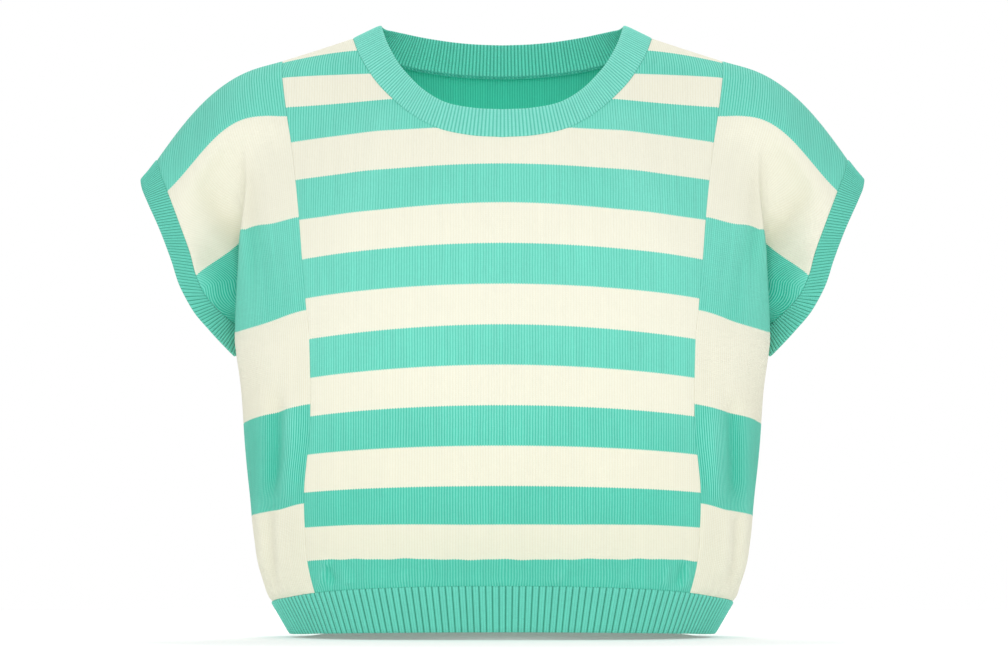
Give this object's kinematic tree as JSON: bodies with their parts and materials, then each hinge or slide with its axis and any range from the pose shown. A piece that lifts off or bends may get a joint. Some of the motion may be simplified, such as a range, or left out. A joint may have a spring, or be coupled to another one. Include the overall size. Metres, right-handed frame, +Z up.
{
  "type": "cropped cap-sleeve knit pullover",
  "caption": "Boxy cropped knit pullover with cap sleeves, a ribbed crew neck, ribbed cuffs and a drawn-in ribbed hem, filled out as if worn.",
  "frame": {"origin": "middle of the neck opening at shoulder height, where the garment is held", "axes": "+X to the wearer's left, front faces -Y, +Z up"},
  "size_m": [0.5594, 0.255, 0.4709],
  "materials": {
    "stripe_knit": "matt fine-gauge cotton knit in narrow mint and cream stripes",
    "panel_knit": "matt fine-gauge cotton knit in wide mint and cream stripes",
    "rib_knit": "matt ribbed cotton knit, mint"
  },
  "bodies": {
    "root": {"front_centre": "stripe_knit", "front_side_left": "panel_knit", "front_side_right": "panel_knit", "back": "panel_knit", "neckband": "rib_knit", "hem_rib": "rib_knit", "cuff_left": "rib_knit", "cuff_right": "rib_knit"}
  },
  "joints": []
}
